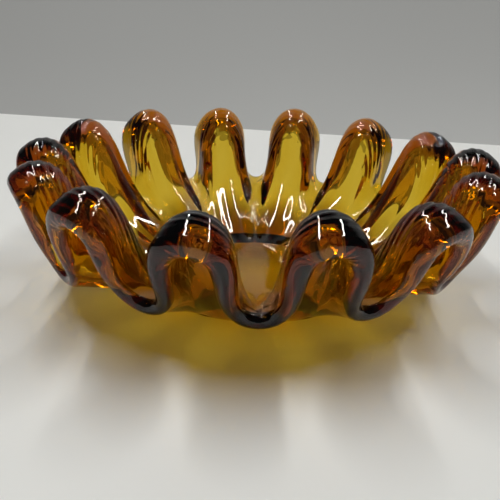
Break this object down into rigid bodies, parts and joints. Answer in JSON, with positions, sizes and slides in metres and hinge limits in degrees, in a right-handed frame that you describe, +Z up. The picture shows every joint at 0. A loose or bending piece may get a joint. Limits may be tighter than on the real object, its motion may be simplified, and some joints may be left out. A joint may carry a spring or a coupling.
{
  "type": "crimped glass dish",
  "caption": "Shallow one-piece dish of thick amber glass, with a flat foot and a deeply crimped wall of rounded ridges and open channels, for sweets or nuts.",
  "frame": {"origin": "centre of the flat foot, on the surface that the dish stands on", "axes": "+Z up out of the bowl along its axis, one valley of the crimped rim points along -Y"},
  "size_m": [0.1768, 0.1738, 0.0543],
  "materials": {
    "amber_glass": "fire-polished amber glass with a few tool ripples"
  },
  "bodies": {
    "root": {"glass_dish": "amber_glass"}
  },
  "joints": []
}
